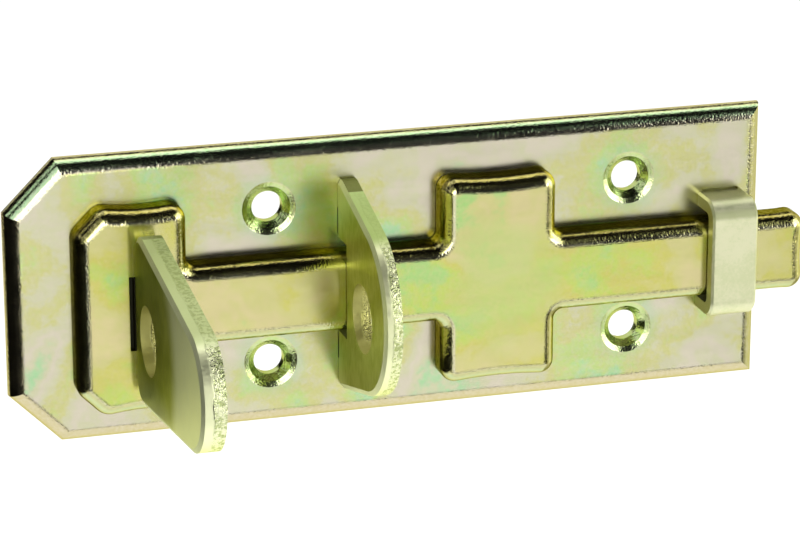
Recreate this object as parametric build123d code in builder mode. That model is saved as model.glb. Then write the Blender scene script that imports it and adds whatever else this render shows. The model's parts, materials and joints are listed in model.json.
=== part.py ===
"""Lockable slide bolt: a pressed base plate, a drawn sliding bolt and two padlock eyes.

The bolt hangs as it is screwed to a door. X runs along the slide, towards the bolt's tip, Z is up and
-Y points away from the door. The origin is the centre of the four screw holes, on the door's surface.
"""
import os

from build123d import *

# Base plate, a pan of sheet steel with a rim that turns back to the door
plate_length = 140.0
plate_width = 52.0
plate_depth = 3.2
plate_sheet = 1.5
rim_radius = 2.8
corner_cut = 9.2

# Four countersunk screw holes, dimpled into the plate
screw_pitch_x = 67.2
screw_pitch_z = 28.6
screw_from_left = 47.05
screw_hole_diameter = 5.6
countersink_diameter = 8.6
countersink_angle = 90.0
lip_diameter = 9.8
lip_angle = 140.0
dimple_wall = 1.2
dimple_angle = 45.0

# Middle line of the guides below that of the plate, and how far the bolt hangs in its guides
slide_drop = 0.7
bolt_hang = 0.4

# Sliding bolt, drawn from one sheet as an open tray that runs on the plate
running_gap = 0.3
bolt_depth = 5.1
bolt_sheet = 1.5
bolt_edge_radius = 2.5
bolt_inner_bevel = 0.8
cut_corner_radius = 3.2
outside_corner_radius = 2.7
inside_corner_radius = 1.6
edge_hollow = 0.7

# Lengths along the bolt, from the left edge of the plate, and its tip past the right edge
head_from_left = 11.2
head_length = 20.0
head_width = 38.2
head_corner_cut = 4.7
strip_width = 14.4
stop_from_left = 77.7
stop_length = 21.4
stop_width = 38.9
tip_overhang = 7.6
tip_flare = 0.6
tip_flare_length = 6.0

# Padlock holes of both eyes, in line in front of the strip
padlock_hole_diameter = 12.4
padlock_axis_height = 19.0
padlock_axis_drop = 1.6

# Handle eye, a long flat grip that stands on the bolt's head
handle_from_left = 21.4
handle_thickness = 4.2
handle_root_width = 30.4
handle_root_height = 5.0
handle_root_radius = 4.4
handle_nose_radius = 10.4
handle_reach = 50.8
handle_tab_width = 13.4
handle_slot_gap = 0.9

# Staple eye, which stands on the plate and bridges the strip
staple_from_left = 59.6
staple_thickness = 3.2
staple_root_width = 38.8
staple_root_height = 1.6
staple_nose_radius = 15.4
staple_reach = 30.3
staple_tab_width = 4.6
staple_tab_spacing = 23.4
notch_clearance = 1.2
notch_top_gap = 0.35

# Guide loop, a bent strap that holds the tip of the bolt down
loop_from_right = 3.5
loop_width = 8.7
loop_strap = 2.5
loop_bend_radius = 1.2
loop_clearance = 0.4
loop_top_gap = 0.35
loop_tab_width = 6.6
loop_slot_gap = 0.5

# Staked tabs, whose ends are spread behind the sheet that they hold
tab_clearance = 0.1
stake_height = 1.0
stake_spread = 0.8
stake_taper = 25.0

# Edges of the punched pieces, drawn in on the side that the punch entered
die_roll_width = 0.9
die_roll_depth = 0.5
strap_edge_bevel = 0.4

# Places that follow from the sizes above
plate_left = -(screw_from_left + screw_pitch_x / 2)
plate_right = plate_left + plate_length
plate_level = 0
slide_level = plate_level - slide_drop
bolt_level = slide_level - bolt_hang
half_width = plate_width / 2
bolt_back = plate_depth + running_gap
bolt_front = bolt_back + bolt_depth
head_left = plate_left + head_from_left
head_right = head_left + head_length
stop_left = plate_left + stop_from_left
stop_right = stop_left + stop_length
tip_right = plate_right + tip_overhang
flare_left = tip_right - tip_flare_length
handle_middle = plate_left + handle_from_left + handle_thickness / 2
staple_middle = plate_left + staple_from_left + staple_thickness / 2
loop_middle = plate_right - loop_from_right - loop_width / 2
notch_half = strip_width / 2 + bolt_hang + notch_clearance
loop_inner_half = strip_width / 2 + tip_flare + bolt_hang + loop_clearance
loop_inner_front = bolt_front + loop_top_gap
loop_tab_centre = loop_inner_half + loop_strap / 2


def facing(height, level=slide_level):
    """Plane parallel to the door, at a height in front of it: its x is X, its y is up from the level."""
    return Plane(origin=(0, -height, level), x_dir=(1, 0, 0), z_dir=(0, -1, 0))


def across(x, level=slide_level):
    """Plane square to the slide at x: its x points away from the door, its y is up from the level."""
    return Plane(origin=(x, 0, level), x_dir=(0, -1, 0), z_dir=(-1, 0, 0))


def corners_at(outline, places):
    """Corners of an outline at the given places above its middle line, and at their mirror images."""
    sides = (1, -1)
    return [outline.vertices().sort_by_distance((x, y * side))[0] for x, y in places for side in sides]


def eye_outline(root, root_width, root_height, nose_radius, reach):
    """Outline of an eye, from a straight root on the sheet that carries it to a round nose."""
    with Locations((root + reach - nose_radius, 0)):
        Circle(nose_radius)
    with Locations((root + root_height / 2, 0)):
        Rectangle(root_height, root_width)
    make_hull()
    with Locations((root - nose_radius, 0)):
        Rectangle(2 * nose_radius, root_width, mode=Mode.SUBTRACT)


def roll_in(face):
    """Draws in the edges of a punched face, apart from the edge that stands on the sheet."""
    edges = face.edges().sort_by(Axis.Y)[:-1]
    chamfer(edges, die_roll_width, die_roll_depth, reference=face)


def staked_tabs(front, sheet, places, size_x, size_z, level=slide_level):
    """Tabs that pass back through a sheet from its front, with their ends spread behind it."""
    with BuildSketch(facing(front, level)) as tabs:
        with Locations(*places):
            Rectangle(size_x, size_z)
    extrude(tabs.sketch, amount=-sheet)
    with BuildSketch(facing(front - sheet, level)) as ends:
        with Locations(*places):
            Rectangle(size_x + 2 * stake_spread, size_z + 2 * stake_spread)
    extrude(ends.sketch, amount=-stake_height, taper=stake_taper)


# Base plate: outline with its two left corners cut, rounded rim, open at the back
with BuildPart() as base_plate:
    with BuildSketch(facing(0, plate_level)):
        with BuildLine():
            Polyline(
                (plate_left + corner_cut, half_width),
                (plate_left, half_width - corner_cut),
                (plate_left, corner_cut - half_width),
                (plate_left + corner_cut, -half_width),
                (plate_right, -half_width),
                (plate_right, half_width),
                close=True,
            )
        make_face()
    extrude(amount=plate_depth)
    fillet(base_plate.faces().sort_by(Axis.Y)[0].edges(), rim_radius)
    offset(amount=-plate_sheet, openings=base_plate.faces().sort_by(Axis.Y)[-1])
    # Dimples, cones of sheet pushed back from the plate as far as the door
    with BuildSketch(facing(0, plate_level)):
        with GridLocations(screw_pitch_x, screw_pitch_z, 2, 2):
            Circle(screw_hole_diameter / 2 + dimple_wall)
    extrude(amount=plate_depth - plate_sheet, taper=-dimple_angle / 2)
    with Locations(facing(plate_depth, plate_level)):
        with GridLocations(screw_pitch_x, screw_pitch_z, 2, 2):
            for diameter, angle in [(countersink_diameter, countersink_angle), (lip_diameter, lip_angle)]:
                CounterSinkHole(screw_hole_diameter / 2, diameter / 2, counter_sink_angle=angle)
    # Slots for the tabs of the staple eye and of the guide loop
    with BuildSketch(facing(0)):
        with Locations((staple_middle, 0)):
            with GridLocations(0, staple_tab_spacing, 1, 2):
                Rectangle(staple_thickness + 2 * tab_clearance, staple_tab_width + 2 * tab_clearance)
        with Locations((loop_middle, 0)):
            with GridLocations(0, 2 * loop_tab_centre, 1, 2):
                Rectangle(loop_tab_width + 2 * tab_clearance, loop_strap + 2 * loop_slot_gap)
    extrude(amount=plate_depth, mode=Mode.SUBTRACT)

# Sliding bolt: head with cut corners, strip, stop arms and tip, drawn as one open tray
head_half = head_width / 2
strip_half = strip_width / 2
stop_half = stop_width / 2
tip_half = strip_half + tip_flare
with BuildPart() as sliding_bolt:
    with BuildSketch(facing(bolt_back, bolt_level)) as bolt_outline:
        with BuildLine():
            Polyline(
                (head_left, 0),
                (head_left, head_half - head_corner_cut),
                (head_left + head_corner_cut, head_half),
            )
            SagittaArc((head_left + head_corner_cut, head_half), (head_right, head_half), -edge_hollow)
            Polyline(
                (head_right, head_half),
                (head_right, strip_half),
                (stop_left, strip_half),
                (stop_left, stop_half),
            )
            SagittaArc((stop_left, stop_half), (stop_right, stop_half), -edge_hollow)
            Polyline((stop_right, stop_half), (stop_right, strip_half), (flare_left, strip_half))
            TangentArc((flare_left, strip_half), (tip_right, tip_half), tangent=(1, 0))
            TangentArc((tip_right - edge_hollow, 0), (tip_right, tip_half), tangent=(0, 1))
            mirror(about=Plane.XZ)
        make_face()
        inside = [(head_right, strip_half), (stop_left, strip_half), (stop_right, strip_half)]
        fillet(corners_at(bolt_outline, inside), inside_corner_radius)
        cut = [(head_left, head_half - head_corner_cut), (head_left + head_corner_cut, head_half)]
        fillet(corners_at(bolt_outline, cut), cut_corner_radius)
        outside = [
            (head_right, head_half),
            (stop_left, stop_half),
            (stop_right, stop_half),
            (tip_right, tip_half),
        ]
        fillet(corners_at(bolt_outline, outside), outside_corner_radius)
    extrude(amount=bolt_depth)
    fillet(sliding_bolt.faces().sort_by(Axis.Y)[0].edges(), bolt_edge_radius)
    # Hollow of the tray, one sheet inside its outline, with bevels behind the rounded edges
    with BuildSketch(facing(bolt_back, bolt_level)):
        add(bolt_outline.sketch_local)
        offset(amount=-bolt_sheet)
    extrude(amount=bolt_depth - bolt_sheet, mode=Mode.SUBTRACT)
    hollow_floor = sliding_bolt.faces().filter_by(Axis.Y).sort_by(Axis.Y)[1]
    chamfer(hollow_floor.edges(), bolt_inner_bevel)
    # Slot in the head for the tab of the handle eye, left open a little on the side of the grip
    with BuildSketch(facing(bolt_back, bolt_level)):
        with Locations((handle_middle + (tab_clearance - handle_slot_gap) / 2, 0)):
            Rectangle(
                handle_thickness + handle_slot_gap + tab_clearance,
                handle_tab_width + 2 * tab_clearance,
            )
    extrude(amount=bolt_depth, mode=Mode.SUBTRACT)

# Handle eye: a tongue that narrows to a round end, punched from flat stock
with BuildPart() as handle_eye:
    with BuildSketch(across(handle_middle, bolt_level)) as handle_outline:
        eye_outline(bolt_front, handle_root_width, handle_root_height, handle_nose_radius, handle_reach)
        fillet(handle_outline.vertices().group_by(Axis.X)[0], handle_root_radius)
    extrude(amount=handle_thickness / 2, both=True)
    roll_in(handle_eye.faces().sort_by(Axis.X)[0])
    with BuildSketch(across(handle_middle, bolt_level)):
        with Locations((padlock_axis_height, -padlock_axis_drop)):
            Circle(padlock_hole_diameter / 2)
    extrude(amount=handle_thickness, both=True, mode=Mode.SUBTRACT)
    handle_tabs = [(handle_middle, 0)]
    staked_tabs(bolt_front, bolt_sheet, handle_tabs, handle_thickness, handle_tab_width, bolt_level)

# Staple eye: a broad round-nosed plate with a notch that the strip slides through
with BuildPart() as staple_eye:
    with BuildSketch(across(staple_middle)):
        eye_outline(plate_depth, staple_root_width, staple_root_height, staple_nose_radius, staple_reach)
    extrude(amount=staple_thickness / 2, both=True)
    roll_in(staple_eye.faces().sort_by(Axis.X)[0])
    with BuildSketch(across(staple_middle)):
        with Locations(((plate_depth + bolt_front + notch_top_gap) / 2, 0)):
            Rectangle(bolt_front + notch_top_gap - plate_depth, 2 * notch_half)
        with Locations((padlock_axis_height, -padlock_axis_drop)):
            Circle(padlock_hole_diameter / 2)
    extrude(amount=staple_thickness, both=True, mode=Mode.SUBTRACT)
    staple_tabs = [(staple_middle, staple_tab_spacing / 2), (staple_middle, -staple_tab_spacing / 2)]
    staked_tabs(plate_depth, plate_sheet, staple_tabs, staple_thickness, staple_tab_width)

# Guide loop: flat strap bent over the strip, with both legs staked in the plate
with BuildPart() as guide_loop:
    with BuildSketch(across(loop_middle)):
        with BuildLine():
            FilletPolyline(
                (plate_depth, -loop_tab_centre),
                (loop_inner_front + loop_strap / 2, -loop_tab_centre),
                (loop_inner_front + loop_strap / 2, loop_tab_centre),
                (plate_depth, loop_tab_centre),
                radius=loop_bend_radius + loop_strap / 2,
            )
        trace(line_width=loop_strap)
    extrude(amount=loop_width / 2, both=True)
    loop_front = guide_loop.faces().sort_by(Axis.Y)[0]
    chamfer(loop_front.edges().filter_by(Axis.Z), strap_edge_bevel)
    loop_tabs = [(loop_middle, loop_tab_centre), (loop_middle, -loop_tab_centre)]
    staked_tabs(plate_depth, plate_sheet, loop_tabs, loop_tab_width, loop_strap)

os.makedirs("parts", exist_ok=True)
pieces = {
    "base_plate": base_plate,
    "sliding_bolt": sliding_bolt,
    "handle_eye": handle_eye,
    "staple_eye": staple_eye,
    "guide_loop": guide_loop,
}
for name, piece in pieces.items():
    piece.part.label = name
    export_step(piece.part, f"parts/{name}.step")
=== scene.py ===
# %% [markdown]
# # A lockable slide bolt in yellow-passivated steel
# The real bolt is five pieces of pressed, punched and bent steel that are staked together and plated.
# They could be modelled here once more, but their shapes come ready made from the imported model, in
# metres, with X along the slide, Z up and -Y away from the door. Taking them as they are keeps the
# picture true to the part. What is left to do is the finish of each piece and the light that shows it.

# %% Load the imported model
import json
import math

import bpy
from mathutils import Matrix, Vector


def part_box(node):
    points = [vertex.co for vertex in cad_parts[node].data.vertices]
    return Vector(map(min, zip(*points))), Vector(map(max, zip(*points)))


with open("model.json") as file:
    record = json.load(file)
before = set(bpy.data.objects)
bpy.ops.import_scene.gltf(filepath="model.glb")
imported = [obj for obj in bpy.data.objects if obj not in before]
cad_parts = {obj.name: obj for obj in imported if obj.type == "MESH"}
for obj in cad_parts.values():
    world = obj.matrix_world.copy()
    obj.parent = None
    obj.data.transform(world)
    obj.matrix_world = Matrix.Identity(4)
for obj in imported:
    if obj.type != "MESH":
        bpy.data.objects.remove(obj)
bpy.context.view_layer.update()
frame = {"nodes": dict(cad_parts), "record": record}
bpy.ops.object.select_all(action="DESELECT")
nodes = frame["nodes"]
mm = 0.001
print("Pieces of the bolt:", ", ".join(sorted(nodes)))

# %% [markdown]
# ## A bare metal to start from
# Every piece is steel with zinc on it and a passivated skin on the zinc. Its look could be painted on a
# picture, but a tree of shader nodes needs no file and stays sharp from close by. Each tree starts from
# the Principled shader as a metal. The specular tint is what a metal turns to at a glancing angle: white
# would bleach the yellow skin there, so every finish brings a tint of its own.

# %% A bare metal
def start_finish(name, glance):
    """A new metal with its tint at a glancing angle. Hands back the material, its tree and the shader."""
    finish = bpy.data.materials.new(name)
    finish.use_nodes = True
    tree = finish.node_tree
    shader = tree.nodes["Principled BSDF"]
    shader.inputs["Metallic"].default_value = 1.0
    shader.inputs["Specular Tint"].default_value = (*glance, 1.0)
    return finish, tree, shader


def put(tree, socket, value):
    """Links a socket to another one, or sets it to a plain value."""
    if isinstance(value, bpy.types.NodeSocket):
        tree.links.new(value, socket)
    else:
        socket.default_value = value


print("Ready: a bare metal for each finish")

# %% [markdown]
# ## Where a mark sits
# The film on the metal makes clouds of some millimetres, and the grain is finer still, so the finishes
# count in millimetres. A UV map could say where a mark sits, but it would have seams. Object coordinates
# are the place in the piece's own mesh: they have no seam and ride along when the bolt slides. The
# direction in which the surface faces tells the flats from the edges.

# %% Places and directions on a piece
def place_in_mm(tree, stretch=(1, 1, 1)):
    """The place on the piece, in millimetres, with each axis stretched by a factor."""
    place = tree.nodes.new("ShaderNodeTexCoord")
    scale = tree.nodes.new("ShaderNodeVectorMath")
    scale.operation = "MULTIPLY"
    scale.inputs[1].default_value = [factor / mm for factor in stretch]
    tree.links.new(place.outputs["Object"], scale.inputs[0])
    return scale.outputs["Vector"]


def parts_of(tree, vector):
    """The X, Y and Z parts of a vector, as sockets by name."""
    split = tree.nodes.new("ShaderNodeSeparateXYZ")
    tree.links.new(vector, split.inputs["Vector"])
    return split.outputs


def facing_along(tree, axis):
    """How much the surface faces along one axis, from -1 to 1."""
    geometry = tree.nodes.new("ShaderNodeNewGeometry")
    return parts_of(tree, geometry.outputs["Normal"])[axis]


print("Ready: places in millimetres and directions")

# %% [markdown]
# ## Clouds, sums and soft steps
# Few marks on plated metal have a sharp border. A hard threshold would look cut out, so each border here
# is a soft step, and noise makes it ragged. The noise has four dimensions: the fourth number is a seed,
# which gives every piece clouds of its own without moving the pattern about.

# %% Clouds
def clouds(tree, place, size, detail=3.0, roughness=0.5, distortion=0.0, seed=0.0):
    """Soft noise with patches of about the given size in millimetres, from 0 to 1."""
    noise = tree.nodes.new("ShaderNodeTexNoise")
    noise.noise_dimensions = "4D"
    noise.inputs["W"].default_value = seed
    noise.inputs["Scale"].default_value = 1 / size
    noise.inputs["Detail"].default_value = detail
    noise.inputs["Roughness"].default_value = roughness
    noise.inputs["Distortion"].default_value = distortion
    tree.links.new(place, noise.inputs["Vector"])
    return noise.outputs["Fac"]


print("Ready: clouds")


# %% Sums and soft steps
def work_out(tree, operation, *values):
    """One step of arithmetic on numbers or sockets."""
    step = tree.nodes.new("ShaderNodeMath")
    step.operation = operation
    for socket, value in zip(step.inputs, values):
        put(tree, socket, value)
    return step.outputs["Value"]


def fade(tree, value, low, high, at_low=0.0, at_high=1.0):
    """A soft step: at_low below low, at_high above high."""
    ramp = tree.nodes.new("ShaderNodeMapRange")
    ramp.interpolation_type = "SMOOTHSTEP"
    put(tree, ramp.inputs["Value"], value)
    ramp.inputs["From Min"].default_value = low
    ramp.inputs["From Max"].default_value = high
    ramp.inputs["To Min"].default_value = at_low
    ramp.inputs["To Max"].default_value = at_high
    return ramp.outputs["Result"]


def normal_part(tree, axis):
    """How much the surface faces along one axis either way, from 0 to 1."""
    return work_out(tree, "ABSOLUTE", facing_along(tree, axis))


print("Ready: sums and soft steps")

# %% [markdown]
# ## Colours and relief
# A used finish has layers: the film, then wear, torn metal, painted shade and painted reflections on top of
# it.
# Each layer could be a shader of its own, but one metal whose colour is mixed layer by layer is lighter and
# stays one material. The relief of grain and torn metal is at most a few tenths of a millimetre deep, so it
# is bump and leaves the meshes alone.

# %% Colours
def colours_along(tree, value, stops):
    """A colour ramp through the given (position, colour) stops."""
    ramp = tree.nodes.new("ShaderNodeValToRGB")
    ramp.color_ramp.interpolation = "EASE"
    while len(ramp.color_ramp.elements) < len(stops):
        ramp.color_ramp.elements.new(1.0)
    for element, (position, colour) in zip(ramp.color_ramp.elements, stops):
        element.position = position
        element.color = (*colour, 1.0)
    tree.links.new(value, ramp.inputs["Fac"])
    return ramp.outputs["Color"]


def mixed(tree, share, first, second):
    """Two colours mixed by a share from 0 to 1."""
    mix = tree.nodes.new("ShaderNodeMix")
    mix.data_type = "RGBA"
    put(tree, mix.inputs["Factor"], share)
    put(tree, mix.inputs["A"], first)
    put(tree, mix.inputs["B"], second)
    return mix.outputs["Result"]


print("Ready: colours")


# %% Relief
def relief(tree, shader, layers, normal=None):
    """Bump on the shader from (height socket, depth in millimetres) layers, one on top of the other."""
    for height, depth in layers:
        bump = tree.nodes.new("ShaderNodeBump")
        bump.inputs["Distance"].default_value = depth * mm
        tree.links.new(height, bump.inputs["Height"])
        if normal is not None:
            tree.links.new(normal, bump.inputs["Normal"])
        normal = bump.outputs["Normal"]
    tree.links.new(normal, shader.inputs["Normal"])


print("Ready: relief")

# %% [markdown]
# ## The film on the pressed sheet
# Base plate and sliding bolt are pressed from bright sheet. Yellow passivation is a film a few hundred
# nanometres thin, so its thickness shows as clouds of straw, green and a rosy beige. A thin-film shader
# could work those colours out from a thickness, but it is hard to steer towards these pale ones. Here a
# slow noise and a quick one stand for the thickness, and a ramp with listed colours reads it. The plate's
# film is a little cooler and the bolt's more yellow, so each has a tint.

# %% Film colours, from a thin film to a thick one
rosy = (0.68, 0.59, 0.46)
beige = (0.63, 0.59, 0.38)
straw = (0.61, 0.57, 0.23)
lime = (0.53, 0.63, 0.22)
mint = (0.41, 0.64, 0.34)
film_colours = [
    (0.31, mint),
    (0.39, lime),
    (0.46, straw),
    (0.53, beige),
    (0.60, rosy),
    (0.66, beige),
    (0.73, mint),
]
plate_tint = (1.00, 1.06, 1.06)
bolt_tint = (1.00, 1.03, 0.66)
print("Film colours on the ramp:", len(film_colours))

# %% Film on the flat faces
slow_clouds = 22
quick_clouds = 6
quick_swing = 0.46


def times(colour, tint):
    """A colour multiplied by a tint, part by part."""
    return [part * share for part, share in zip(colour, tint)]


def flat_film(tree, place, tint, seed):
    """Film on the flat faces: slow clouds with a swing of quick ones."""
    slow = clouds(tree, place, slow_clouds, detail=1.5, distortion=0.8, seed=seed)
    quick = clouds(tree, place, quick_clouds, detail=5.0, roughness=0.68, seed=seed + 5)
    swing = work_out(tree, "MULTIPLY_ADD", quick, quick_swing, -quick_swing / 2)
    stops = [(position, times(colour, tint)) for position, colour in film_colours]
    return colours_along(tree, work_out(tree, "ADD", slow, swing), stops)


print("Clouds of the film:", slow_clouds, "and", quick_clouds, "mm")

# %% Specks in the film
speck_size = 0.6
speck_start = (0.38, 0.64)
speck_share = 0.36


def specked(tree, place, colour, tint, seed):
    """Fine rosy specks over a film."""
    specks = clouds(tree, place, speck_size, detail=4.0, roughness=0.75, seed=seed)
    share = fade(tree, specks, *speck_start, 0.0, speck_share)
    return mixed(tree, share, colour, (*times(rosy, tint), 1.0))


print("Specks of", speck_size, "mm")

# %% [markdown]
# ## The film on drawn edges, with painted shade and reflections
# Where the sheet was drawn over the tool the film is stretched, and its colour follows how far the edge
# has turned: the plate's upper rim goes from straw to mint, and the walls of the bolt's tray from black
# olive to gold. The black olive on those walls is painted shade, and the dark lines beside the flat on
# edges that face right are painted reflections. One ramp for all edges would be simpler, but those that
# face up, down and to the right differ too much. So each gets a ramp, which is read by how much the surface
# still faces the front.

# %% Film and painted reflections on the plate's drawn edges, from a wall that faces sideways to the flat
plate_above = [
    (0.10, (0.66, 0.60, 0.40)),
    (0.30, (0.62, 0.58, 0.26)),
    (0.55, (0.42, 0.64, 0.32)),
    (0.85, (0.46, 0.68, 0.38)),
    (0.97, (0.72, 0.70, 0.52)),
]
plate_below = [(0.10, (0.48, 0.42, 0.20)), (0.90, (0.54, 0.48, 0.27))]
# The two darkest stops, next to the flat, are painted reflections: a dark line along the plate's right
# edge.
plate_right = [
    (0.10, (0.50, 0.48, 0.20)),
    (0.70, (0.56, 0.54, 0.25)),
    (0.88, (0.46, 0.44, 0.16)),
    (0.95, (0.24, 0.23, 0.07)),
    (0.985, (0.12, 0.12, 0.04)),
]
plate_film_and_painted_reflections = (plate_above, plate_below, plate_right)
print("Colours on the plate's edges:", [len(stops) for stops in plate_film_and_painted_reflections])

# %% Film, painted shade and reflections on the bolt's drawn edges, from a wall that faces sideways to the flat
# The darkest stops, on the walls, are painted shade; the dark stops next to the flat on the right are
# painted reflections.
bolt_above = [
    (0.10, (0.06, 0.05, 0.015)),
    (0.28, (0.20, 0.17, 0.05)),
    (0.50, (0.36, 0.31, 0.07)),
    (0.90, (0.46, 0.46, 0.16)),
    (0.98, (0.68, 0.66, 0.44)),
]
bolt_below = [
    (0.10, (0.08, 0.07, 0.02)),
    (0.35, (0.34, 0.34, 0.11)),
    (0.80, (0.48, 0.56, 0.30)),
    (0.98, (0.46, 0.46, 0.22)),
]
bolt_right = [
    (0.10, (0.06, 0.05, 0.015)),
    (0.40, (0.22, 0.20, 0.04)),
    (0.68, (0.52, 0.49, 0.13)),
    (0.84, (0.62, 0.60, 0.22)),
    (0.93, (0.22, 0.21, 0.05)),
    (0.985, (0.10, 0.10, 0.03)),
]
bolt_film_and_painted_light = (bolt_above, bolt_below, bolt_right)
print("Colours on the bolt's edges:", [len(stops) for stops in bolt_film_and_painted_light])

# %% Where the sheet was drawn
drawn_until = (0.98, 0.9995)
right_start = (0.03, 0.10)


def drawn_edges(tree):
    """1 on the rounded edges that were drawn over the tool, 0 on the flat faces."""
    return fade(tree, normal_part(tree, "Y"), *drawn_until, 1.0, 0.0)


def film_and_painted_light_on_edges(tree, film_and_painted_light, upward):
    """Film with painted shade and reflections on drawn edges: a ramp for those that face up, down and
    right. Up starts in the range upward.
    """
    ahead = normal_part(tree, "Y")
    above, below, right = [colours_along(tree, ahead, stops) for stops in film_and_painted_light]
    colour = mixed(tree, fade(tree, facing_along(tree, "Z"), *upward), below, above)
    to_right = work_out(tree, "SUBTRACT", facing_along(tree, "X"), normal_part(tree, "Z"))
    return mixed(tree, fade(tree, to_right, *right_start), colour, right)


print("Sheet counts as drawn where it faces the front by less than", drawn_until[1])

# %% [markdown]
# ## Sheet that leans beside the grip
# The sheet on the left of the grip seems to lean by a few degrees, on the head and on the plate, as if
# the staking had pulled at it. It shows only because bright sheet mirrors another part of the tent there.
# The mesh could be bent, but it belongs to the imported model, and a lean this small changes no outline. So
# the lean is added to the normal of the front faces, and it fades out towards an end along the slide.

# %% A lean for the front faces
front_facing = (-0.999, -0.96)


def tilted_sheet(tree, lean, end, run):
    """Normal of a sheet whose front leans in X and Z, up to an end in X where it fades over a run."""
    beside = fade(tree, parts_of(tree, place_in_mm(tree))["X"], end - run, end, 1.0, 0.0)
    front = fade(tree, facing_along(tree, "Y"), *front_facing, 1.0, 0.0)
    share = work_out(tree, "MULTIPLY", beside, front)
    shift = tree.nodes.new("ShaderNodeCombineXYZ")
    for axis, amount in zip("XZ", lean):
        tree.links.new(work_out(tree, "MULTIPLY", share, amount), shift.inputs[axis])
    geometry = tree.nodes.new("ShaderNodeNewGeometry")
    total = tree.nodes.new("ShaderNodeVectorMath")
    tree.links.new(geometry.outputs["Normal"], total.inputs[0])
    tree.links.new(shift.outputs["Vector"], total.inputs[1])
    unit = tree.nodes.new("ShaderNodeVectorMath")
    unit.operation = "NORMALIZE"
    tree.links.new(total.outputs["Vector"], unit.inputs[0])
    return unit.outputs["Vector"]


grip_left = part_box("handle_eye")[0].x / mm
print("The grip's left face is at", round(grip_left, 1), "mm")

# %% [markdown]
# ## The bright sheet, put together
# Bright sheet is smooth but never perfect: wiping leaves long faint streaks of dullness, pressing leaves
# broad waves, and drawing raises the steel's grain as orange peel. The waves and the peel could be
# sculpted, but they are hundredths of a millimetre deep. As bump they bend the mirrored lines as the real
# sheet does: the flats hardly show it, while the black lines along the edges break up into specks.

# %% Wiped streaks and orange peel
wipe_stretch = (0.3, 1, 1)
wipe_range = (0.25, 0.75)
wiped_rough = (0.20, 0.27)
drawn_polish = -0.08
peel_until = (0.9985, 0.9999)


def wiped_gloss(tree, drawn, seed):
    """Roughness of the sheet: wiped streaks, and a brighter polish on the drawn edges."""
    wipe = clouds(tree, place_in_mm(tree, wipe_stretch), size=3, detail=4.0, seed=seed)
    rough = fade(tree, wipe, *wipe_range, *wiped_rough)
    return work_out(tree, "MULTIPLY_ADD", drawn, drawn_polish, rough)


def orange_peel(tree, place, seed):
    """Grain that rises where the sheet was drawn."""
    peel = clouds(tree, place, size=0.33, detail=1.5, seed=seed)
    return work_out(tree, "MULTIPLY", peel, fade(tree, normal_part(tree, "Y"), *peel_until, 1.0, 0.0))


print("Roughness of the sheet from", wiped_rough[0], "to", wiped_rough[1])

# %% Bright passivated sheet
sheet_glance = (0.72, 0.68, 0.30)
peel_depth = 0.055
wave_depth = 0.05


def passivated_sheet(name, seed, tint, edge_film_and_painted_light, upward, green_at, edges_at, tilt):
    """Bright passivated sheet.

    edge_film_and_painted_light and upward colour its drawn edges, green_at adds green places to its flats, edges_at adds
    marks to its drawn edges, and tilt gives the lean of its front, the end of that lean and its run.
    """
    finish, tree, shader = start_finish(name, sheet_glance)
    place = place_in_mm(tree)
    drawn = drawn_edges(tree)
    flats = green_at(tree, flat_film(tree, place, tint, seed))
    edges = edges_at(tree, film_and_painted_light_on_edges(tree, edge_film_and_painted_light, upward))
    colour = specked(tree, place, mixed(tree, drawn, flats, edges), tint, seed + 7)
    put(tree, shader.inputs["Base Color"], colour)
    put(tree, shader.inputs["Roughness"], wiped_gloss(tree, drawn, seed + 9))
    peel = orange_peel(tree, place, seed + 2)
    waves = clouds(tree, place, size=9, detail=1.0, seed=seed + 3)
    relief(tree, shader, [(waves, wave_depth), (peel, peel_depth)], tilted_sheet(tree, *tilt))
    return finish


print("Orange peel", peel_depth, "mm deep and waves", wave_depth, "mm deep")

# %% [markdown]
# ## The plate's screw holes
# The punch that dimpled the screw holes stretched the sheet round them, and the film there is greener.
# Rings could be painted by hand, but the places of the holes stand in the model's record. Reading them
# from there keeps each ring on its hole if a size changes, and noise makes the ring ragged.

# %% Read the screw holes
mounts = {mount["name"]: mount for mount in frame["record"]["mounts"]}
screws = mounts["screw_holes"]["dims"]
screw_x = screws["spacing_x_mm"] / 2
screw_z = screws["spacing_y_mm"] / 2
print(f"Screw holes at +-{screw_x} and +-{screw_z} mm")


# %% Distance from a screw hole
def length_of(tree, first, second):
    """Length of a step that goes one way by the first number and across it by the second."""
    squares = [work_out(tree, "POWER", part, 2.0) for part in (first, second)]
    return work_out(tree, "SQRT", work_out(tree, "ADD", *squares))


def from_screw(tree, place):
    """How far a place is from the middle of its nearest screw hole."""
    where = parts_of(tree, place)
    away_x = work_out(tree, "SUBTRACT", work_out(tree, "ABSOLUTE", where["X"]), screw_x)
    away_z = work_out(tree, "SUBTRACT", work_out(tree, "ABSOLUTE", where["Z"]), screw_z)
    return length_of(tree, away_x, away_z)


print("Ready: distance from a screw hole")

# %% Green round the screw holes and in them
halo_edge = (5.5, 10.0)
halo_sway = 4.0
halo_share = 0.6
hole_green = (0.46, 0.62, 0.22)
hole_edge = (4.4, 5.2)
hole_share = 0.85


def halos_of_screws(tree, colour):
    """Greener film in a ragged ring round each screw hole, where the punch stretched the sheet."""
    place = place_in_mm(tree)
    ragged = clouds(tree, place, size=5, detail=2.0, seed=11)
    radius = work_out(tree, "MULTIPLY_ADD", ragged, halo_sway, from_screw(tree, place))
    return mixed(tree, fade(tree, radius, *halo_edge, halo_share, 0.0), colour, (*mint, 1.0))


def green_in_holes(tree, colour):
    """Green film on the sunk rims of the screw holes."""
    inside = fade(tree, from_screw(tree, place_in_mm(tree)), *hole_edge, hole_share, 0.0)
    return mixed(tree, inside, colour, (*hole_green, 1.0))


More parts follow.
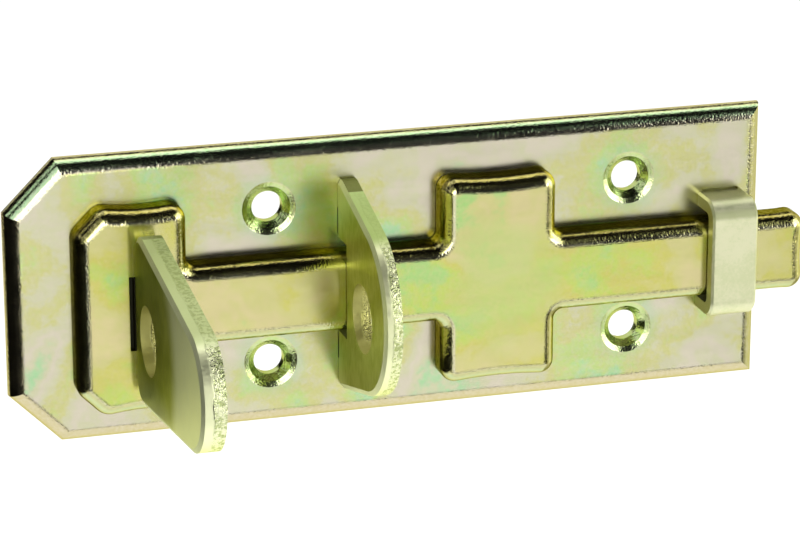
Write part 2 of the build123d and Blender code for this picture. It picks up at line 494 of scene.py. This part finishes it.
print("Green reaches", hole_edge[1], "mm on the rims and up to", halo_edge[1], "mm on the flat")

# %% Finish for the plate
plate_lean = (-0.08, 0.05)
plate_lean_end = grip_left + 16
plate_lean_run = 8
plate_upward = (0.05, 0.3)
sheet_plate = passivated_sheet(
    "passivated_plate_sheet",
    seed=1.0,
    tint=plate_tint,
    edge_film_and_painted_light=plate_film_and_painted_reflections,
    upward=plate_upward,
    green_at=halos_of_screws,
    edges_at=green_in_holes,
    tilt=(plate_lean, plate_lean_end, plate_lean_run),
)
print("Finish for the plate:", sheet_plate.name)

# %% [markdown]
# ## The bolt's arms, and a painted reflection on its bevelled corner
# The broad cross of the stop arms has a greener film than the strip, and on the corner of the head that
# faces up and to the left a dark reflection is painted. Both could be materials of their own on picked
# faces, but then their borders would follow the facets. One finish with two soft masks is smoother: the
# first goes by the distance from the middle of the cross, the second by the direction in which the edge
# faces.

# %% Green arms
plate_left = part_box("base_plate")[0].x / mm
arms_from_left = 88.4
cross_sway = 14.0
cross_edge = (13, 21)
cross_share = 0.75


def greener_cross(tree, colour):
    """Greener film on the broad stop arms."""
    low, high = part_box("sliding_bolt")
    place = place_in_mm(tree)
    offset = tree.nodes.new("ShaderNodeVectorMath")
    offset.operation = "DISTANCE"
    middle_z = (low.z + high.z) / 2 / mm
    offset.inputs[1].default_value = (plate_left + arms_from_left, low.y / mm, middle_z)
    tree.links.new(place, offset.inputs[0])
    ragged = clouds(tree, place, size=8, detail=2.0, seed=21)
    reach = work_out(tree, "MULTIPLY_ADD", ragged, cross_sway, offset.outputs["Value"])
    return mixed(tree, fade(tree, reach, *cross_edge, cross_share, 0.0), colour, (*lime, 1.0))


print("Middle of the arms", arms_from_left, "mm from the plate's left end")

# %% Painted dark reflection on the corner
# Dark colour painted as a reflection on edges that face up and to the left
bevel_reflection_dark = (0.10, 0.095, 0.03)
bevel_share = 0.85
bevel_start = (-0.11, -0.06)
bevel_end = (-0.40, -0.32)


def painted_reflection_on_bevels(tree, colour):
    """Painted dark reflection on edges that face up and to the left, such as the bevelled corner of the
    head.
    """
    slant = work_out(tree, "MULTIPLY", facing_along(tree, "X"), facing_along(tree, "Z"))
    starts = fade(tree, slant, *bevel_start, bevel_share, 0.0)
    share = work_out(tree, "MULTIPLY", starts, fade(tree, slant, *bevel_end))
    return mixed(tree, share, colour, (*bevel_reflection_dark, 1.0))


print("The dark corner covers", bevel_share, "of the film")

# %% Finish for the bolt
head_lean = (-0.105, 0)
head_lean_end = grip_left + 0.5
head_lean_run = 1.0
bolt_upward = (-0.3, -0.05)
sheet_bolt = passivated_sheet(
    "passivated_bolt_sheet",
    seed=4.0,
    tint=bolt_tint,
    edge_film_and_painted_light=bolt_film_and_painted_light,
    upward=bolt_upward,
    green_at=greener_cross,
    edges_at=painted_reflection_on_bevels,
    tilt=(head_lean, head_lean_end, head_lean_run),
)
print("Finish for the bolt:", sheet_bolt.name)

# %% [markdown]
# ## The faces of the punched eyes
# Grip and fixed eye were punched from thicker stock and tumbled, so their faces are satin olive with a
# fine upright grain. The film is worn pale far from the padlock hole, on the low end of the grip and on
# the edge that the punch drew in. The grain could come from an anisotropic gloss, but on these small
# faces stretched noise in the colour and the relief shows the same and is simpler.

# %% Read the padlock holes
eye_hole = mounts["staple_padlock_hole"]
eye_hole_radius = eye_hole["dims"]["r_mm"]
eye_hole_y = eye_hole["pos_m"][1] / mm
eye_hole_z = eye_hole["pos_m"][2] / mm
print(f"Padlock holes of {eye_hole_radius} mm radius")

# %% Satin faces
grain_weight = 0.6
patch_weight = 0.5
tone_stops = (0.40, 0.68)


def satin_face(tree, place, grain, tones, seed):
    """Two tones of the stock, mixed by its grain and by broad patches."""
    patches = clouds(tree, place, size=7, detail=4.0, roughness=0.6, seed=seed)
    broad = work_out(tree, "MULTIPLY", patches, patch_weight)
    share = work_out(tree, "MULTIPLY_ADD", grain, grain_weight, broad)
    return colours_along(tree, share, list(zip(tone_stops, tones)))


print("Ready: satin faces in two tones")

# %% Wear on the faces
worn_pale = (0.90, 0.93, 0.68)
worn_most = 0.7
worn_ring = (eye_hole_radius + 10, eye_hole_radius + 17)
handled_below = (eye_hole_z - 16, eye_hole_z - 5)
bend_start = (0.15, 0.4)
bend_end = (0.8, 0.98)


def from_bore(tree, place):
    """How far a place is from the middle of the padlock hole."""
    where = parts_of(tree, place)
    away_y = work_out(tree, "SUBTRACT", where["Y"], eye_hole_y)
    away_z = work_out(tree, "SUBTRACT", where["Z"], eye_hole_z)
    return length_of(tree, away_y, away_z)


def worn_share(tree, radius, height, low_wear):
    """How far the film is worn: far from the padlock hole, and low down by low_wear."""
    outside = fade(tree, radius, *worn_ring, 0.0, worn_most)
    handled = fade(tree, height, *handled_below, low_wear, 0.0)
    return work_out(tree, "MAXIMUM", outside, handled)


def drawn_in_edge(tree, facing):
    """1 on the edge that the punch drew in, between a face and the sheared edge."""
    leaves_edge = fade(tree, facing, *bend_start)
    meets_face = fade(tree, facing, *bend_end, 1.0, 0.0)
    return work_out(tree, "MULTIPLY", leaves_edge, meets_face)


print("Wear starts", round(worn_ring[0], 1), "mm from the middle of a padlock hole")

# %% [markdown]
# ## The sheared edges of the eyes
# A punch cuts the first half of the thickness smoothly and tears the rest. The nose of each eye shows it
# best: a smooth pale band, then torn metal that sparkles, with dark pits. Edges that face up are smoother
# and lime, and olive shade is painted on them near the sheet. The torn metal could be displaced geometry,
# but it is under half a millimetre deep and would cost many faces, so deep bump and shade painted into its
# pits stand for it.

# %% Torn metal
torn_sway = 1.2
torn_start = (0.35, 0.75)
torn_less_on_top = -0.8
# Olive painted as shade in the pits of the torn metal
pit_shade = (0.26, 0.34, 0.06)
pit_edge = (0.40, 0.56)
pit_share = 0.65


def torn_zone_of(tree, place, from_middle, on_edge, upward, seed):
    """1 where the edge tore: the far half of the thickness behind a ragged border, and less on top."""
    ragged = clouds(tree, place, size=2.0, detail=3.0, seed=seed)
    border = work_out(tree, "MULTIPLY_ADD", ragged, torn_sway, from_middle)
    far_half = work_out(tree, "MULTIPLY", on_edge, fade(tree, border, *torn_start))
    at_nose = work_out(tree, "MULTIPLY_ADD", upward, torn_less_on_top, 1.0)
    return work_out(tree, "MULTIPLY", far_half, at_nose)


def painted_shade_in_pits(tree, colour, torn, torn_zone):
    """Painted shade in the pits of the torn metal."""
    pits = work_out(tree, "MULTIPLY", torn_zone, fade(tree, torn, *pit_edge, pit_share, 0.0))
    return mixed(tree, pits, colour, (*pit_shade, 1.0))


print("Pits cover up to", pit_share, "of the torn metal's colour")

# %% Sheared edges, and shade painted at their roots
sheared_lime = (0.58, 0.71, 0.29)
torn_pale = (0.86, 0.89, 0.55)
edge_share = 0.85
# Olive painted as shade where an upward edge meets the sheet that it stands on
root_shade_olive = (0.20, 0.20, 0.05)
root_length = 5.5
root_blur = 0.3
root_share = 0.8


def sheared_edge(tree, colour, on_edge, upward):
    """Colour of the punched edge: pale at the nose, lime where it faces up."""
    edge_colour = mixed(tree, upward, (*torn_pale, 1.0), (*sheared_lime, 1.0))
    return mixed(tree, work_out(tree, "MULTIPLY", on_edge, edge_share), colour, edge_colour)


def painted_shade_at_root(tree, colour, depth, sheet_front, on_edge, upward):
    """Painted olive shade on the edge that faces up, close to the sheet that the eye stands on."""
    start = sheet_front - root_length
    root = work_out(tree, "MULTIPLY", fade(tree, depth, start, start + root_blur), upward)
    share = work_out(tree, "MULTIPLY", work_out(tree, "MULTIPLY", root, on_edge), root_share)
    return mixed(tree, share, colour, (*root_shade_olive, 1.0))


print("Dark roots reach", root_length, "mm up from the sheet")

# %% [markdown]
# ## The padlock holes and the slots
# The walls of the padlock holes are tan. Where an eye passes through the sheet, the narrow slot beside it
# is black. The slot could be left to the light, but this white tent reaches into it, so shade is painted on
# the eye behind the front of its sheet. The staked ends face the back, and they stay bright.

# %% Tan holes, and painted shade in the slots
bore_tan = (0.46, 0.44, 0.15)
bore_edge = (eye_hole_radius + 0.7, eye_hole_radius + 1.0)
wall_until = (0.3, 0.6)
# Near black painted as shade in the slot beside an eye
slot_shade = (0.03, 0.03, 0.02)
slot_shade_blur = 0.2
back_start = (0.4, 0.7)


def tan_bore(tree, colour, radius, facing):
    """Tan on the wall of the padlock hole."""
    wall = fade(tree, facing, *wall_until, 1.0, 0.0)
    share = work_out(tree, "MULTIPLY", fade(tree, radius, *bore_edge, 1.0, 0.0), wall)
    return mixed(tree, share, colour, (*bore_tan, 1.0))


def painted_shade_in_slot(tree, colour, depth, sheet_front):
    """Painted shade behind the front of the sheet, but not on the staked ends that face the back."""
    behind = fade(tree, depth, sheet_front - slot_shade_blur, sheet_front)
    not_back = fade(tree, facing_along(tree, "Y"), *back_start, 1.0, 0.0)
    return mixed(tree, work_out(tree, "MULTIPLY", behind, not_back), colour, (*slot_shade, 1.0))


print("Tan reaches", round(bore_edge[1], 1), "mm from the middle of a padlock hole")

# %% [markdown]
# ## The eyes, put together
# Both eyes are the same stock with different wear, so one function makes both finishes from a few values.
# Two copies of the tree could be tuned apart, but a change would then have to be made twice. Satin metal
# is duller than sheet, and dullest on the drawn-in edge and on top, while torn metal glitters.

# %% Gloss of the eyes
grain_range = (0.3, 0.7)
grain_rough = (0.36, 0.46)
bend_rough = 0.3
top_rough = 0.34
torn_gloss = -0.16


def satin_gloss(tree, grain, bend, top_edge, torn_zone):
    """Roughness of the stock, by its grain, its drawn-in edge, its top and its torn metal."""
    rough = fade(tree, grain, *grain_range, *grain_rough)
    rough = work_out(tree, "MULTIPLY_ADD", bend, bend_rough, rough)
    rough = work_out(tree, "MULTIPLY_ADD", top_edge, top_rough, rough)
    return work_out(tree, "MULTIPLY_ADD", torn_zone, torn_gloss, rough)


print("Roughness of the faces from", grain_rough[0], "to", grain_rough[1])

# %% Satin stock for an eye
stock_glance = (0.82, 0.84, 0.36)
edge_until = (0.35, 0.75)
top_start = (0.84, 0.95)
grain_stretch = (1, 3, 0.3)
torn_depth = 0.32
fine_depth = 0.010
grain_depth = 0.012


def tumbled_stock(name, node, tones, sheet_front, smooth, low_wear, seed):
    """Satin passivated stock for an eye.

    tones are the two colours of its faces and sheet_front is where the sheet that it stands on starts in Y.
    smooth is how far its upward edges stayed smooth, and low_wear is how far its low end is worn.
    """
    low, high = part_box(node)
    finish, tree, shader = start_finish(name, stock_glance)
    place = place_in_mm(tree)
    where = parts_of(tree, place)
    radius = from_bore(tree, place)
    facing = normal_part(tree, "X")
    on_edge = fade(tree, facing, *edge_until, 1.0, 0.0)
    upward = fade(tree, facing_along(tree, "Z"), *top_start, 0.0, smooth)
    bend = drawn_in_edge(tree, facing)
    grain = clouds(tree, place_in_mm(tree, grain_stretch), size=0.8, detail=4.0, roughness=0.6, seed=seed)
    torn = clouds(tree, place, size=0.6, detail=3.0, roughness=0.6, seed=seed + 6)
    from_middle = work_out(tree, "SUBTRACT", where["X"], (low.x + high.x) / 2 / mm)
    torn_zone = torn_zone_of(tree, place, from_middle, on_edge, upward, seed + 4)
    worn = work_out(tree, "MAXIMUM", worn_share(tree, radius, where["Z"], low_wear), bend)
    colour = mixed(tree, worn, satin_face(tree, place, grain, tones, seed + 3), (*worn_pale, 1.0))
    colour = sheared_edge(tree, colour, on_edge, upward)
    colour = painted_shade_at_root(tree, colour, where["Y"], sheet_front, on_edge, upward)
    colour = painted_shade_in_pits(tree, colour, torn, torn_zone)
    colour = tan_bore(tree, colour, radius, facing)
    colour = painted_shade_in_slot(tree, colour, where["Y"], sheet_front)
    put(tree, shader.inputs["Base Color"], colour)
    top_edge = work_out(tree, "MULTIPLY", on_edge, upward)
    put(tree, shader.inputs["Roughness"], satin_gloss(tree, grain, bend, top_edge, torn_zone))
    torn_edge = work_out(tree, "MULTIPLY", torn, torn_zone)
    fine = clouds(tree, place, size=0.35, detail=2.0, seed=seed + 8)
    relief(tree, shader, [(torn_edge, torn_depth), (fine, fine_depth), (grain, grain_depth)])
    return finish


print("Torn metal", torn_depth, "mm deep and grain", grain_depth, "mm deep")

# %% Finishes for the two eyes
bolt_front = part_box("sliding_bolt")[0].y / mm
plate_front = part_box("base_plate")[0].y / mm
grip_tones = ((0.30, 0.34, 0.05), (0.48, 0.52, 0.14))
staple_tones = ((0.34, 0.38, 0.10), (0.58, 0.60, 0.26))
stock_grip = tumbled_stock(
    "passivated_grip_stock",
    "handle_eye",
    grip_tones,
    bolt_front,
    smooth=0.5,
    low_wear=0.8,
    seed=31.0,
)
stock_staple = tumbled_stock(
    "passivated_staple_stock",
    "staple_eye",
    staple_tones,
    plate_front,
    smooth=1.0,
    low_wear=0.0,
    seed=36.0,
)
print("Finishes for the eyes:", stock_grip.name, "and", stock_staple.name)

# %% [markdown]
# ## The bent strap
# The guide loop is rolled strap, paler and duller than the rest, with a very fine even grain. Its sides
# are more olive, and a dark reflection is painted round its upper bend. Sides and bend could get materials
# of their own, but with hard borders. The direction in which the strap faces gives soft ones.

# %% Sides of the strap, and the painted reflection on its bend
strap_side = (0.44, 0.44, 0.16)
# Dark colour painted as a reflection round the strap's upper bend
bend_reflection_colour = (0.30, 0.33, 0.16)
side_start = (0.75, 0.95)
side_share = 0.7
dark_start = (0.05, 0.3)
dark_end = (0.45, 0.75)
dark_share = 0.7


def olive_sides(tree, colour):
    """Olive on the two sides of the strap."""
    sides = fade(tree, normal_part(tree, "X"), *side_start, 0.0, side_share)
    return mixed(tree, sides, colour, (*strap_side, 1.0))


def painted_reflection_on_bend(tree, colour):
    """Painted dark reflection round the upper bend, between the strap's front and its upper leg."""
    rise = facing_along(tree, "Z")
    leaves_front = fade(tree, rise, *dark_start)
    meets_leg = fade(tree, rise, *dark_end, dark_share, 0.0)
    return mixed(tree, work_out(tree, "MULTIPLY", leaves_front, meets_leg), colour, (*bend_reflection_colour, 1.0))


print("Olive and dark cover", side_share, "and", dark_share, "of the strap's film")

# %% Satin strap
strap_light = (0.73, 0.73, 0.49)
strap_dark = (0.64, 0.67, 0.40)
strap_glance = (0.84, 0.84, 0.55)
strap_rough = (0.40, 0.52)
strap_grain_depth = 0.006
strap_weight = 0.5
strap_stops = (0.38, 0.62)


def satin_strap(name, seed):
    """Pale satin strap with fine rolled grain."""
    finish, tree, shader = start_finish(name, strap_glance)
    place = place_in_mm(tree)
    patches = clouds(tree, place, size=5, detail=3.0, seed=seed)
    grain = clouds(tree, place, size=0.45, detail=3.0, seed=seed + 2)
    broad = work_out(tree, "MULTIPLY", patches, strap_weight)
    share = work_out(tree, "MULTIPLY_ADD", grain, strap_weight, broad)
    colour = colours_along(tree, share, list(zip(strap_stops, (strap_dark, strap_light))))
    put(tree, shader.inputs["Base Color"], painted_reflection_on_bend(tree, olive_sides(tree, colour)))
    put(tree, shader.inputs["Roughness"], fade(tree, grain, *grain_range, *strap_rough))
    relief(tree, shader, [(grain, strap_grain_depth)])
    return finish


strap_loop = satin_strap("passivated_loop_strap", seed=51.0)
print("Finish for the loop:", strap_loop.name)

# %% [markdown]
# ## Dress the pieces
# On the real bolt each piece was plated as a whole. Faces could be given different slots, but the masks
# above already change the finish from place to place, so each piece wears one material in one slot.

# %% Give every piece its finish
finishes = {
    "base_plate": sheet_plate,
    "sliding_bolt": sheet_bolt,
    "handle_eye": stock_grip,
    "staple_eye": stock_staple,
    "guide_loop": strap_loop,
}
for name, finish in finishes.items():
    nodes[name].data.materials.clear()
    nodes[name].data.materials.append(finish)
    print(name, "wears", finish.name)

# %% [markdown]
# ## The floor and the tent
# Bright metal is photographed in a white tent on a pale table, which gives it an even light and a white
# ground. A tent could be built from sheets and lamps, but a white world is the same light with less
# noise. The floor is a plain plane, far enough below to throw no edge into the picture.

# %% Pale floor
floor_depth = 0.30
floor_size = 12.0
floor_grey = (0.92, 0.92, 0.92, 1)
floor_rough = 0.9
bpy.ops.mesh.primitive_plane_add(size=floor_size, location=(0, 0, -floor_depth))
floor = bpy.context.object
floor.name = "floor"
floor_finish = bpy.data.materials.new("pale_floor")
floor_finish.use_nodes = True
floor_shader = floor_finish.node_tree.nodes["Principled BSDF"]
floor_shader.inputs["Base Color"].default_value = floor_grey
floor_shader.inputs["Roughness"].default_value = floor_rough
floor_shader.inputs["Specular IOR Level"].default_value = 0.0
floor.data.materials.append(floor_finish)
print("Floor", floor_depth, "m below the middle of the plate")

# %% White tent
tent_white = (1, 1, 1, 1)
tent_glow = 1.05
tent = bpy.data.worlds.new("white_tent")
tent.use_nodes = True
tent_light = tent.node_tree.nodes["Background"]
tent_light.inputs["Color"].default_value = tent_white
tent_light.inputs["Strength"].default_value = tent_glow
bpy.context.scene.world = tent
print("Tent glows at", tent_glow)

# %% [markdown]
# ## Cards and soft boxes
# In a plain tent bright metal looks flat. Dark cards round the bolt draw the black lines along its
# rounded edges, and soft boxes between the cards give its corners their glints. A picture of a studio
# could be mirrored instead, but cards can be moved one at a time until a line sits right. They only have
# to be mirrored, so they throw neither soft light nor shadow on the bolt. Each is placed by the direction
# in which the bolt sees it: degrees to the right of straight ahead, and degrees above the bolt.

# %% Directions round the bolt
def seen_at(right, up, distance):
    """The point that the bolt sees at an angle to the right of straight ahead and an angle above it."""
    right = math.radians(right)
    up = math.radians(up)
    flat = distance * math.cos(up)
    return Vector((flat * math.sin(right), -flat * math.cos(right), distance * math.sin(up)))


def width_of(angle, distance):
    """How wide a thing at that distance is that fills an angle."""
    return 2 * distance * math.tan(math.radians(angle) / 2)


print("Straight ahead at 1 m is", tuple(seen_at(0, 0, 1.0)))

# %% A dark card
card_black = (0.004, 0.004, 0.004, 1)
card_finish = bpy.data.materials.new("dark_card")
card_finish.use_nodes = True
card_shader = card_finish.node_tree.nodes["Principled BSDF"]
card_shader.inputs["Base Color"].default_value = card_black
card_shader.inputs["Specular IOR Level"].default_value = 0.0


def dark_card(name, right, up, distance):
    """A dark card that fills a range of angles, seen by mirrored rays alone."""
    place = seen_at(sum(right) / 2, sum(up) / 2, distance)
    turn = place.to_track_quat("Z", "Y").to_euler()
    bpy.ops.mesh.primitive_plane_add(size=1, location=place, rotation=turn)
    card = bpy.context.object
    card.name = name
    card.scale = (width_of(right[1] - right[0], distance), width_of(up[1] - up[0], distance), 1)
    card.data.materials.append(card_finish)
    card.visible_camera = False
    card.visible_diffuse = False
    card.visible_shadow = False


print("Cards are", card_finish.name)

# %% Dark cards round the bolt
far = 1.0
near = 0.4
near_low = 0.45
cards = {
    "card_ahead": ((-2.5, 33.5), (-8, 48), far),
    "card_above": ((-10, 60), (46, 86), far),
    "card_behind": ((150, 200), (38, 60), far),
    "card_left_front": ((-60, -23), (-32, 5), near),
    "card_left": ((-126, -58), (-44, 20), near),
    "card_far_left": ((-164, -126), (-14.5, 14), near),
    "card_high_left": ((-80, -60), (26, 54), far),
    "card_back_left": ((-146, -104), (16, 50), far),
    "card_low": ((-20, 50), (-38, -33), near_low),
    "card_right": ((36, 50), (-32, -12), near_low),
}
for name, (right, up, distance) in cards.items():
    dark_card(name, right, up, distance)
print("Dark cards:", len(cards))


# %% Soft boxes
def soft_box(name, right, up, glow, distance):
    """A soft box that fills a range of angles and glows that much brighter than white, in mirrors alone."""
    lamp = bpy.data.lights.new(name, "AREA")
    lamp.shape = "RECTANGLE"
    lamp.size = width_of(right[1] - right[0], distance)
    lamp.size_y = width_of(up[1] - up[0], distance)
    lamp.energy = glow * math.pi * lamp.size * lamp.size_y
    box = bpy.data.objects.new(name, lamp)
    box.location = seen_at(sum(right) / 2, sum(up) / 2, distance)
    box.rotation_euler = box.location.to_track_quat("Z", "Y").to_euler()
    box.visible_diffuse = False
    bpy.context.scene.collection.objects.link(box)


boxes_of_light = {
    "box_left": ((-26, -2.5), (-4, 26), 2.8),
    "box_right": ((33.5, 80), (-11, 34), 2.8),
    "box_above": ((140, 220), (64, 94), 0.8),
}
for name, (right, up, glow) in boxes_of_light.items():
    soft_box(name, right, up, glow, far)
print("Soft boxes:", len(boxes_of_light))

# %% [markdown]
# ## A lamp for the table
# The table under the bolt has to stay as white as the tent behind it. A stronger tent would do that, but
# it would wash out the metal. A lamp above the bolt that no mirror sees brightens the table alone.

# %% Lamp above the table
table_lamp_size = 0.5
table_lamp_watts = 6
table_lamp_place = (0, 0.10, 0.80)
table_lamp = bpy.data.lights.new("table_lamp", "AREA")
table_lamp.size = table_lamp_size
table_lamp.energy = table_lamp_watts
table_light = bpy.data.objects.new("table_lamp", table_lamp)
table_light.location = table_lamp_place
table_light.visible_glossy = False
bpy.context.scene.collection.objects.link(table_light)
print("Table lamp:", table_lamp_watts, "W")

# %% [markdown]
# ## The camera
# A long lens looks from a little left and above, so that the eyes show their faces and their edges. Its
# place could be found by eye, but it was fitted to the plate's outline, the screw holes and the eyes,
# which puts the plate's corners where the photo has them. The Standard view keeps white paper white.

# %% Camera at the photo's angle
camera_place = Vector((-0.17929, -0.58022, 0.19830))
camera_aim = Vector((-0.0139, -0.0180, 0.0051))
lens_length = 159.06
film_width = 36.0
lens = bpy.data.cameras.new("camera")
lens.lens = lens_length
lens.sensor_width = film_width
camera = bpy.data.objects.new("camera", lens)
camera.location = camera_place
camera.rotation_euler = (camera_aim - camera_place).to_track_quat("-Z", "Y").to_euler()
bpy.context.scene.collection.objects.link(camera)
bpy.context.scene.camera = camera
bpy.context.scene.view_settings.view_transform = "Standard"
print("Camera", round((camera_aim - camera_place).length, 3), "m from the bolt")

# %% [markdown]
# ## The end
# The bolt keeps the meshes of the imported model, so it fills the same box as the model.

# %% Finish
print("Finished")
